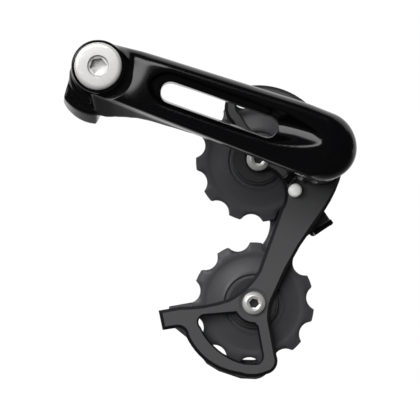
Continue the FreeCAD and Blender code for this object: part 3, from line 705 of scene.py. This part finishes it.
# %% The pivot axle
AXLE_R, NECK_R, RIVET_R = 4.0, 2.8, 5.6
NECK_FRONT, NECK_BACK, FLANGE_FRONT = -4.8, -1.2, 19.4
axle_axis, flange_r, axle_low, axle_high = node_size("pivot_axle")
axle_section = [(0.0, axle_low), (AXLE_R, axle_low), (AXLE_R, NECK_FRONT), (NECK_R, NECK_FRONT),
                (NECK_R, NECK_BACK), (AXLE_R, NECK_BACK), (AXLE_R, FLANGE_FRONT), (flange_r, FLANGE_FRONT),
                (flange_r, OUTER_LOW.y), (AXLE_R, OUTER_LOW.y), (AXLE_R, OUTER_HIGH.y),
                (RIVET_R, OUTER_HIGH.y), (RIVET_R, axle_high), (0.0, axle_high)]
axle = mesh_object("pivot_axle_turned", turned(soften(axle_section, 0.15), axle_axis))
finish_piece(axle, steel_for("axle_steel", PIVOT_XZ), "cage", "pivot_axle")

# %% [markdown]
# ## Socket-head bolts
# A socket in a bolt head is a hexagon that sinks into a round lead-in. We spin the head with its
# recess, then slide the vertices of the deeper rings onto a hexagon: distance from the axis becomes
# half the key size divided by the cosine of the angle from the nearest flat.

# %% A bolt head with a key socket
HEX_STEPS = 96
HEAD_EDGE = 0.12


def socket_bolt(section, socket, axis, across, turn=0.0):
    """Turned bolt; the socket's points are (radius share, depth) and are pulled onto a hexagon."""
    half = across / 2
    flagged = [(half * share, y) for share, y in socket]
    bm = turned(soften(section, HEAD_EDGE)[:-1] + flagged, CENTRE, HEX_STEPS)
    depths = [y for share, y in socket if share > 0]
    for vert in bm.verts:
        radius = math.hypot(vert.co.x, vert.co.z)
        if radius < 1e-6 or radius > half + 1e-3 or min(abs(vert.co.y - y) for y in depths) > 1e-3:
            continue
        angle = math.atan2(vert.co.z, vert.co.x) + turn
        flat = (angle % (math.pi / 3)) - math.pi / 6
        vert.co.x /= math.cos(flat)
        vert.co.z /= math.cos(flat)
    bmesh.ops.translate(bm, vec=(axis[0], 0, axis[1]), verts=bm.verts)
    return bm


def paint_socket_shade(bolt, axis, reach, floor_reach=0.0):
    """The socket's walls, and every face within the floor reach, take the dark steel: painted shade in the recess.
    """
    bolt.data.materials.append(OXIDE_AND_SOCKET_SHADE)
    for face in bolt.data.polygons:
        away = math.hypot(face.center.x / MM - axis[0], face.center.z / MM - axis[1])
        if away < floor_reach or away < reach and abs(face.normal.y) < 0.7:
            face.material_index = 1


# %% [markdown]
# ## Hanger bolt
# The big bolt is the eye-catcher: a flat face of bright steel, a round lead-in and a 5 mm socket. Behind
# it a plain shank turns in the arm's boss, and the M10 end screws into the frame. The thread is a
# real helix: a V-shaped section spun round the axis while it moves one millimetre per turn.

# %% Model the hanger bolt
THREAD_R, PITCH, THREAD_DEPTH = 5.0, 1.0, 0.55
_, HEAD_R, HEAD_FRONT, BOLT_END = node_size("mounting_bolt")
HEAD_SEAT, SHANK_R = -12.4, 5.4
CLIP_R, CLIP_FRONT, CLIP_BACK = 5.0, -1.2, -0.3
RECESS_R, RECESS_DEPTH = 3.5, 1.0
HEX, HEX_DEPTH, HEX_TURN = 5.0, 2.8, math.radians(-8)
hex_floor = HEAD_FRONT + RECESS_DEPTH + HEX_DEPTH
hanger_section = [
    (0.0, BOLT_END), (THREAD_R - 1.3, BOLT_END), (THREAD_R - THREAD_DEPTH, BOLT_END - 0.8),
    (THREAD_R - THREAD_DEPTH, 0.0), (SHANK_R, 0.0), (SHANK_R, CLIP_BACK), (CLIP_R, CLIP_BACK),
    (CLIP_R, CLIP_FRONT), (SHANK_R, CLIP_FRONT), (SHANK_R, HEAD_SEAT),
    (HEAD_R - 0.2, HEAD_SEAT), (HEAD_R, HEAD_SEAT - 0.3), (HEAD_R, HEAD_FRONT + 1.0),
    (HEAD_R - 0.25, HEAD_FRONT + 0.5), (HEAD_R - 0.7, HEAD_FRONT + 0.15), (HEAD_R - 1.4, HEAD_FRONT),
    (RECESS_R, HEAD_FRONT), (RECESS_R - 0.15, HEAD_FRONT + RECESS_DEPTH), (0.0, HEAD_FRONT + RECESS_DEPTH)]
hanger_socket = [(1.0, HEAD_FRONT + RECESS_DEPTH + 0.05), (1.0, hex_floor - 0.5), (0.0, hex_floor)]
bolt_bm = socket_bolt(hanger_section, hanger_socket, HANGER, HEX, HEX_TURN)
hanger_bolt = mesh_object("hanger_bolt_turned", bolt_bm)
finish_piece(hanger_bolt, steel_for("hanger_bolt_steel", HANGER, 0.42), "bolt", "mounting_bolt")
# The socket walls are painted dark, as shade in the recess.
paint_socket_shade(hanger_bolt, HANGER, RECESS_R + 0.1)

# %% Cut its thread
TURNS, STEPS_PER_TURN = 7, 48
START = 0.1
thread_bm = bmesh.new()
root = THREAD_R - THREAD_DEPTH - 0.02
section = [(root, START), (THREAD_R, START + PITCH * 0.44), (THREAD_R, START + PITCH * 0.56),
           (root, START + PITCH)]
verts = [thread_bm.verts.new((r, y, 0)) for r, y in section]
edges = [thread_bm.edges.new(pair) for pair in zip(verts, verts[1:])]
bmesh.ops.spin(thread_bm, geom=verts + edges, cent=(0, 0, 0), axis=(0, 1, 0), angle=math.tau * TURNS,
               dvec=(0, PITCH / STEPS_PER_TURN, 0), steps=STEPS_PER_TURN * TURNS)
bmesh.ops.remove_doubles(thread_bm, verts=thread_bm.verts, dist=1e-4)
bmesh.ops.holes_fill(thread_bm, edges=[e for e in thread_bm.edges if e.is_boundary], sides=0)
bmesh.ops.recalc_face_normals(thread_bm, faces=thread_bm.faces)
thread = mesh_object("hanger_bolt_thread", thread_bm)
finish_piece(thread, bpy.data.materials["hanger_bolt_steel"], "bolt")

# %% Pulley bolts
PULLEY_SHANK_R, PULLEY_HEAD, PULLEY_HEX = 2.45, 2.2, 3.0
for label, axis in (("guide", GUIDE_XZ), ("tension", TENSION_XZ)):
    node = label + "_pulley_bolt"
    _, head_r, front, back = node_size(node)
    seat = front + PULLEY_HEAD
    section = [(0.0, back), (2.1, back), (PULLEY_SHANK_R, back - 0.4), (PULLEY_SHANK_R, seat), (head_r, seat),
               (head_r, front + 1.3), (head_r - 0.25, front + 0.9), (head_r - 1.3, front), (2.25, front),
               (2.1, front + 0.3), (0.0, front + 0.4)]
    socket = [(1.0, front + 0.45), (1.0, front + 1.2), (0.0, front + 1.5)]
    bm = socket_bolt(section, socket, axis, PULLEY_HEX, math.radians(12))
    bolt = mesh_object(node + "_turned", bm)
    finish_piece(bolt, steel_for(node + "_steel", axis, 0.34), "cage", node)
    # The whole socket, floor included, is painted dark as shade.
    paint_socket_shade(bolt, axis, 2.2, 1.5)

# %% [markdown]
# ## The link arm
# The arm is a hot forging: nothing on it is quite sharp, and one form flows into the next. Such a
# shape is hard to build from crisp solids, so we work as a sculptor does. Rough solids are merged by a
# voxel remesh, which leaves an even skin of small faces; smoothing softens every edge; then a formula
# presses the sunk field round the slot, the hollow towards the nose and the waist beside the boss into
# that skin. The slot's lower wall leans, as the draft of a forging die would leave it.

# %% Rough solids for the arm
ARM_LOW, ARM_HIGH = (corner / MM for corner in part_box("link_arm"))
print("the arm's box is", [round(side, 1) for side in ARM_HIGH - ARM_LOW], "mm")
BOSS_R, NOSE_R, TOP_RISE = 9.0, 11.45, 0.9
BOSS_FRONT, ARM_FRONT, ARM_BACK = -15.8, -15.5, -7.0
BARREL_R, BARREL_END = 11.7, 19.1
SLOT_START, SLOT_END, SLOT_HALF, SLOT_RISE = 25.2, 60.1, 3.1, 0.5
SLOT_DRAFT = 0.13
TOP_ROUND, TOP_DEPTH, LOW_ROUND, NOSE_ROUND = 3.6, 6.8, 0.9, 10.0
COS, SIN = math.cos(ARM_DROP), math.sin(ARM_DROP)
NOSE_PUSH = 0.5
NOSE = (ARM_LENGTH + NOSE_PUSH, -0.2)
BARREL = (ARM_LENGTH, 0.0)
END_STEPS = 30
TOP_STATIONS = (70.0, 12.0)


def bar_loop(share, y):
    """One ring round the bar's silhouette, drawn in by a share of the round that each side has."""
    lean = math.degrees(math.asin((NOSE_R - BOSS_R) / ARM_LENGTH))
    ring = []
    ends = ((CENTRE, BOSS_R, 90 + lean, 270 - lean), (NOSE, NOSE_R, -90 - lean, 90 + lean))
    for centre, radius, first, last in ends:
        for i in range(END_STEPS + 1):
            angle = first + (last - first) * i / END_STEPS
            up = math.sin(math.radians(angle))
            ahead = max(0.0, math.cos(math.radians(angle))) if centre is NOSE else 0.0
            side = LOW_ROUND + (TOP_ROUND - LOW_ROUND) * max(0.0, min(1.0, 0.5 + up * 0.75))
            draw_in = side + (NOSE_ROUND - side) * ahead ** 0.8
            x, z = polar(centre, radius - draw_in * share, angle)
            if centre is NOSE:
                x, z = x + NOSE_PUSH * ahead ** 4, z + NOSE_PUSH * max(0.0, up)
            ring.append((x, y, z))
    for u in TOP_STATIONS:
        top = BOSS_R + (NOSE_R - BOSS_R) * u / ARM_LENGTH
        ring.append((u, y, top + TOP_RISE - TOP_ROUND * share))
    return ring


def loft(rings):
    """Joins rings of equal count into one closed skin."""
    bm = bmesh.new()
    loops = []
    for ring in rings:
        verts = [bm.verts.new(p) for p in ring]
        loops.append([bm.edges.new(pair) for pair in zip(verts, verts[1:] + verts[:1])])
    for one, two in zip(loops, loops[1:]):
        bmesh.ops.bridge_loops(bm, edges=one + two)
    bmesh.ops.holes_fill(bm, edges=loops[0] + loops[-1], sides=0)
    bmesh.ops.recalc_face_normals(bm, faces=bm.faces)
    return bm


def bar_solid():
    """The bar, its front edges rounded by a quarter turn of ever smaller rings."""
    rings = [bar_loop(0.2, ARM_BACK), bar_loop(0, ARM_BACK - 0.8), bar_loop(0, ARM_FRONT + TOP_DEPTH)]
    for i in range(1, 10):
        t = math.radians(10 * i)
        rings.append(bar_loop(1 - math.cos(t), ARM_FRONT + TOP_DEPTH * (1 - math.sin(t))))
    return loft(rings)


def wedge_solid():
    """Deep root of the bar: it thins towards the slot, and its underside leans down and back."""
    rings = []
    for u, low in ((0.0, -9.5), (4.0, -14.6), (7.5, -14.3), (10.5, -13.2), (13.8, -12.3), (18.0, -11.3),
                   (22.0, -10.9), (29.0, -10.7), (36.0, -10.6)):
        back = ARM_BACK * min(1.0, max(0.0, (u - 10.0) / 26.0)) - 0.3
        rings.append([(u, -13.0, -8.4), (u, back - 1.5, low), (u, back, low + 1.0), (u, back, 7.6),
                      (u, back - 0.8, 8.4), (u, -13.0, 6.0)])
    return loft(rings)


def claw_solids():
    """Flange and web under the boss, and the flared hook that reaches past the seat."""
    start, end, inner_end, middle = 237.5, 287.0, 297.0, 262.25
    inner, outer = 12.6, 15.0
    web = prism(outline(polar(CENTRE, BOSS_R - 0.2, 190), (polar(CENTRE, outer, start),),
                        (polar(CENTRE, outer, middle), polar(CENTRE, outer, end)),
                        ((6.1, -11.6),), ((9.0, 0),)), -3.0, 0.0)
    flange = prism(outline(polar(CENTRE, 8.0, 195), (polar(CENTRE, 9.6, 197),),
                           (polar(CENTRE, 11.0, 240), polar(CENTRE, 12.4, 290)), (polar(CENTRE, 8.0, 300),)),
                   -5.0, -1.0)
    rings = []
    for share in (0.0, 0.1, 0.5, 0.9, 1.0):
        y = -3.0 + 9.0 * share
        trim = 0.45 if share in (0.0, 1.0) else 0.0
        flare = [outer + (r - outer) * share - trim for r in (15.6, 17.4, 18.1)]
        first, last, skew = start + 2 * trim, end - 2 * trim, inner_end - 2 * trim
        points = outline(polar(CENTRE, inner + trim, first), (polar(CENTRE, flare[0], first),),
                         (polar(CENTRE, flare[1], middle), polar(CENTRE, flare[2], last)),
                         (polar(CENTRE, inner + trim, skew),),
                         (polar(CENTRE, inner + trim, middle), polar(CENTRE, inner + trim, first)))
        rings.append([(x, y, z) for x, z in points])
    return web, flange, loft(rings)


STOP_ANGLE, STOP_R, STOP_HALF, STOP_SPAN, STOP_DEPTH = 243.1, 15.0, 2.6, 15, 3.6


def stop_lug_solid():
    """Lug on the barrel's rim; its leading face is half a pin's width short of the stop angle."""
    face = STOP_ANGLE + math.degrees(ARM_DROP) - math.degrees(math.asin(STOP_HALF / STOP_R))
    root = BARREL_R - 1.5
    points = outline(polar(BARREL, root, face - STOP_SPAN), (polar(BARREL, STOP_R, face - STOP_SPAN),),
                     (polar(BARREL, STOP_R, face - STOP_SPAN / 2), polar(BARREL, STOP_R, face)),
                     (polar(BARREL, root, face),))
    return prism(points, BARREL_END - STOP_DEPTH, BARREL_END)


def level_object(name, bm):
    """Arm solids are drawn level; this tips them to the arm's slope."""
    bmesh.ops.rotate(bm, cent=(0, 0, 0), matrix=Matrix.Rotation(ARM_DROP, 3, "Y"), verts=bm.verts)
    return mesh_object(name, bm)


LOCK_Y = -3.0


def rod(radius, depth, middle):
    """Upright round bar through the barrel's axis, given by its mid-height."""
    bm = bmesh.new()
    bmesh.ops.create_cone(bm, cap_ends=True, segments=48, radius1=radius, radius2=radius, depth=depth,
                          matrix=Matrix.Translation((ARM_LENGTH, LOCK_Y, middle)))
    return bm


def relax(bm, times, factor):
    """Pulls every vertex some way towards its neighbours, a number of times."""
    for _ in range(times):
        bmesh.ops.smooth_vert(bm, verts=bm.verts, factor=factor, use_axis_x=True, use_axis_y=True,
                              use_axis_z=True)


# %% Merge them and soften the skin
VOXEL = 0.36
arm = level_object("arm_forging", bar_solid())
slot_points = outline((SLOT_START, SLOT_RISE + SLOT_HALF), ((SLOT_END, SLOT_RISE + SLOT_HALF),),
                      ((SLOT_END + SLOT_HALF, SLOT_RISE), (SLOT_END, SLOT_RISE - SLOT_HALF)),
                      ((SLOT_START, SLOT_RISE - SLOT_HALF),),
                      ((SLOT_START - SLOT_HALF, SLOT_RISE), (SLOT_START, SLOT_RISE + SLOT_HALF)))
boss_section = [(0, BOSS_FRONT), (BOSS_R - 0.5, BOSS_FRONT), (BOSS_R - 0.1, BOSS_FRONT + 0.25),
                (BOSS_R, BOSS_FRONT + 0.8), (BOSS_R, -0.5), (BOSS_R - 0.5, 0), (0, 0)]
barrel_section = [(0, ARM_BACK - 2), (BARREL_R - 1, ARM_BACK - 2), (BARREL_R, ARM_BACK - 0.5),
                  (BARREL_R, BARREL_END - 0.3), (BARREL_R - 0.3, BARREL_END), (0, BARREL_END)]
solids = [turned(boss_section, CENTRE), wedge_solid(), *claw_solids(), stop_lug_solid(),
          rod(3.2, 12.3, -6.15), turned(barrel_section, BARREL)]
for solid in solids:
    extra = level_object("arm_solid", solid)
    joined = bmesh.new()
    joined.from_mesh(arm.data)
    joined.from_mesh(extra.data)
    joined.to_mesh(arm.data)
    joined.free()
    bpy.data.objects.remove(extra)
apply_modifier(arm, "REMESH", mode="VOXEL", voxel_size=VOXEL * MM, use_smooth_shade=True)
slot = prism(slot_points, -20, 2)
for vert in slot.verts:
    if vert.co.z < SLOT_RISE:
        vert.co.z += (SLOT_RISE - vert.co.z) / SLOT_HALF * SLOT_DRAFT * (vert.co.y - ARM_BACK)
cut_away(arm, level_object("slot", slot))
apply_modifier(arm, "REMESH", mode="VOXEL", voxel_size=VOXEL * MM, use_smooth_shade=True)
arm_bm = bmesh.new()
arm_bm.from_mesh(arm.data)
relax(arm_bm, 12, 0.5)
print("arm skin has", len(arm_bm.verts), "vertices")

# %% Press the sunk field and the hollow into the front
FIELD_TOP, FIELD_LOW, FIELD_LEFT = 7.0, -5.4, 17.8
FIELD_BEND, FIELD_TIP = 50.0, 78.3
FIELD_DEPTH, HOLLOW_DEPTH, FLOOR_LEAN = 2.5, 5.0, 0.3
FIELD_WALL = 3.2
WAIST, WAIST_DEPTH, WAIST_WIDTH = 10.5, 2.6, 5.5


def smooth_step(low, high, value):
    """0 below one value, 1 above another, and an easy curve between."""
    t = min(1.0, max(0.0, (value - low) / (high - low)))
    return t * t * (3 - 2 * t)


def field_depth(u, v):
    """How deep the front is pressed at a point of the level side view."""
    middle = 0.9
    if u > FIELD_BEND:
        squeeze = math.sqrt(max(0.0, 1 - ((u - FIELD_BEND) / (FIELD_TIP - FIELD_BEND)) ** 2))
    elif u < SLOT_START:
        squeeze = math.sqrt(max(0.0, 1 - ((SLOT_START - u) / (SLOT_START - FIELD_LEFT)) ** 2))
    else:
        squeeze = 1.0
    top = middle + (FIELD_TOP - middle) * squeeze
    low = middle + (FIELD_LOW - middle) * squeeze
    inward = min(top - v, v - low)
    if squeeze <= 0 or inward <= 0:
        return 0.0
    wall = math.sin(min(1.0, inward / FIELD_WALL) * math.pi / 2) * smooth_step(-0.2, 1.0, inward)
    round_slot = FIELD_DEPTH * wall
    along = min(1.0, max(0.0, (u - SLOT_END) / (FIELD_TIP - SLOT_END)))
    floor = HOLLOW_DEPTH * (1.05 - along) + FLOOR_LEAN * (v - middle)
    floor_top = 1.6 + 1.9 * along
    floor_low = -1.6 + 1.6 * min(1.0, 2 * along)
    climb_top = (top - v) / max(0.8, top - floor_top)
    climb_low = (v - low) / max(0.8, floor_low - low)
    hollow = max(0.0, floor) * smooth_step(-0.25, 1.0, min(climb_top, climb_low))
    mix = smooth_step(SLOT_END - 3, SLOT_END + 4, u)
    return round_slot + (hollow - round_slot) * mix


def waist_depth(u, v):
    """The face leans back at the waist between the boss and the slot."""
    lean = smooth_step(-10.0, 9.0, v)
    clear = smooth_step(BOSS_R, BOSS_R + 2.5, math.hypot(u, v))
    return WAIST_DEPTH * lean * clear * math.exp(-((u - WAIST) / WAIST_WIDTH) ** 2)


for vert in arm_bm.verts:
    x, y, z = vert.co / MM
    u, v = x * COS - z * SIN, x * SIN + z * COS
    if y < ARM_BACK and u > 0:
        reach = min(1.0, (ARM_BACK - y) / (ARM_BACK - ARM_FRONT))
        vert.co.y += (field_depth(u, v) + waist_depth(u, v)) * reach * MM
relax(arm_bm, 8, 0.4)
arm_bm.to_mesh(arm.data)
arm_bm.free()

# %% Bore the boss and the barrel
CRESCENT, CRESCENT_R, CRESCENT_FLOOR = (3.4, -1.4), 8.8, -12.4
HEAD_BORE_R, SHANK_BORE_R, CLIP_BORE_R = 8.2, 5.45, 7.3
AXLE_BORE_R, SLEEVE_R, CHAMBER_R, CHAMBER_FRONT, SLEEVE_END = 5.05, 6.2, 9.6, 1.0, 14.0
ARM_SHARP = math.radians(38)
crescent_section = [(0, -18), (CRESCENT_R, -18), (CRESCENT_R, CRESCENT_FLOOR - 0.2),
                    (CRESCENT_R - 0.8, CRESCENT_FLOOR), (0, CRESCENT_FLOOR)]
crescent = level_object("crescent", turned(crescent_section, CRESCENT))
cut_away(crescent, level_object("boss", turned([(0, -19), (BOSS_R, -19), (BOSS_R, -12), (0, -12)], CENTRE)))
cut_away(arm, crescent)
boss_bore = [(0, -18), (HEAD_BORE_R, -18), (HEAD_BORE_R, -11.8), (SHANK_BORE_R, -11.8), (SHANK_BORE_R, -1.5),
             (CLIP_BORE_R, -1.5), (CLIP_BORE_R, 1), (0, 1)]
barrel_bore = [(0, -12.3), (AXLE_BORE_R, -12.3), (AXLE_BORE_R, SLEEVE_END), (SLEEVE_R, SLEEVE_END),
               (SLEEVE_R, CHAMBER_FRONT), (CHAMBER_R, CHAMBER_FRONT), (CHAMBER_R, 20), (0, 20)]
for cutter in (turned(boss_bore, CENTRE), turned(barrel_bore, BARREL), rod(2.0, 14.0, -7.0)):
    cut_away(arm, level_object("bore", cutter))
reshade(arm, ARM_SHARP)
finish_piece(arm, GLOSS_PAINT, "arm", "link_arm")

# %% [markdown]
# ## Parts that keep their frame shape
# The torsion spring, the lock screw and the retaining ring are already right: a coil, a set
# screw and an open ring. They only need their finish.

# %% Finish the remaining nodes
KEPT = {"tension_spring": SPRING, "axle_lock_screw": OXIDE_AND_SOCKET_SHADE, "bolt_retaining_ring": SPRING}
for node, material in KEPT.items():
    mesh = frame["nodes"][node].data
    mesh.materials.clear()
    mesh.materials.append(material)

# %% [markdown]
# ## Studio
# A gloss black part is lit by what it reflects. So the room is dark on the viewer's side, and a pale
# sweep rises behind the part and bends overhead to lift its edges. A broad fill light from the front
# is left out of the reflections; two small softboxes above and to the left draw the highlights. The
# camera stands far back with a long lens and looks slightly up.

# %% Floor, backdrop and lights
FLOOR_Z = -0.175
SWEEP_GLOW, FLOOR_GLOW, GLOW_REACH = 0.9, 0.03, 0.5
SWEEP_HALF = 6.0
SWEEP = [(-1.5, 0.0), (1.2, 0.0), (1.55, 0.07), (1.8, 0.26), (1.9, 0.6), (1.9, 2.4), (1.6, 2.9), (0.9, 3.1),
         (-0.2, 3.1)]
sweep_bm = bmesh.new()
side_a = [sweep_bm.verts.new((-SWEEP_HALF, y, FLOOR_Z + z)) for y, z in SWEEP]
side_edges = [sweep_bm.edges.new(pair) for pair in zip(side_a, side_a[1:])]
swept = bmesh.ops.extrude_edge_only(sweep_bm, edges=side_edges)
side_b = [v for v in swept["geom"] if isinstance(v, bmesh.types.BMVert)]
bmesh.ops.translate(sweep_bm, vec=(2 * SWEEP_HALF, 0, 0), verts=side_b)
bmesh.ops.recalc_face_normals(sweep_bm, faces=sweep_bm.faces)
sweep_mesh = bpy.data.meshes.new("sweep")
sweep_bm.to_mesh(sweep_mesh)
sweep_bm.free()
sweep = bpy.data.objects.new("sweep", sweep_mesh)
bpy.context.scene.collection.objects.link(sweep)
pale = bpy.data.materials.new("pale_sweep")
pale.use_nodes = True
pale_shader = pale.node_tree.nodes["Principled BSDF"]
pale_shader.inputs["Base Color"].default_value = (0.02, 0.02, 0.02, 1)
pale_shader.inputs["Roughness"].default_value = 0.9
pale_shader.inputs["Specular IOR Level"].default_value = 0.0
pale_shader.inputs["Emission Color"].default_value = (1, 1, 1, 1)
pale_nodes, pale_links = pale.node_tree.nodes, pale.node_tree.links
ray = pale_nodes.new("ShaderNodeLightPath")
place = pale_nodes.new("ShaderNodeSeparateXYZ")
pale_links.new(object_position(pale_nodes), place.inputs[0])
behind = map_range(pale_nodes, pale_links, place.outputs["Y"], FLOOR_GLOW, SWEEP_GLOW, GLOW_REACH)
glow = map_range(pale_nodes, pale_links, ray.outputs["Is Camera Ray"], behind, 1.0)
pale_links.new(glow, pale_shader.inputs["Emission Strength"])
sweep_mesh.materials.append(pale)

world = bpy.data.worlds.new("dark_room")
world.use_nodes = True
world.node_tree.nodes["Background"].inputs["Color"].default_value = (0.75, 0.78, 0.82, 1)
world.node_tree.nodes["Background"].inputs["Strength"].default_value = 0.06
bpy.context.scene.world = world


def softbox(name, place, aim, size, power, mirrored=True):
    """Area light that looks at a point; one that isn't mirrored never shows in a glossy surface."""
    light = bpy.data.lights.new(name, "AREA")
    light.shape = "RECTANGLE"
    light.size, light.size_y = size
    light.energy = power
    obj = bpy.data.objects.new(name, light)
    obj.location = place
    obj.rotation_mode = "QUATERNION"
    obj.rotation_quaternion = (Vector(aim) - Vector(place)).to_track_quat("-Z", "Y")
    obj.visible_glossy = mirrored
    bpy.context.scene.collection.objects.link(obj)


MIDDLE = (CAD_BOX[0] + CAD_BOX[1]) / 2
softbox("fill", (-0.45, -1.1, 0.25), MIDDLE, (1.0, 0.8), 26.0, mirrored=False)
softbox("front_top", (-0.3, -0.8, 0.62), MIDDLE, (1.0, 0.45), 6.0)
softbox("left_top", (-0.85, -0.6, 0.45), MIDDLE, (0.5, 0.5), 2.5)

# %% Camera
SENSOR, LENS = 36.0, 233.6
CAMERA_PLACE = (9.33, -915.0, -90.5)
CAMERA_LOOK = (0.0308257, 1.0, 0.0477064)
camera_data = bpy.data.cameras.new("camera")
camera_data.sensor_width = SENSOR
camera_data.lens = LENS
camera = bpy.data.objects.new("camera", camera_data)
camera.location = Vector(CAMERA_PLACE) * MM
camera.rotation_mode = "QUATERNION"
camera.rotation_quaternion = Vector(CAMERA_LOOK).to_track_quat("-Z", "Y")
bpy.context.scene.collection.objects.link(camera)
bpy.context.scene.camera = camera
bpy.context.scene.view_settings.view_transform = "Standard"
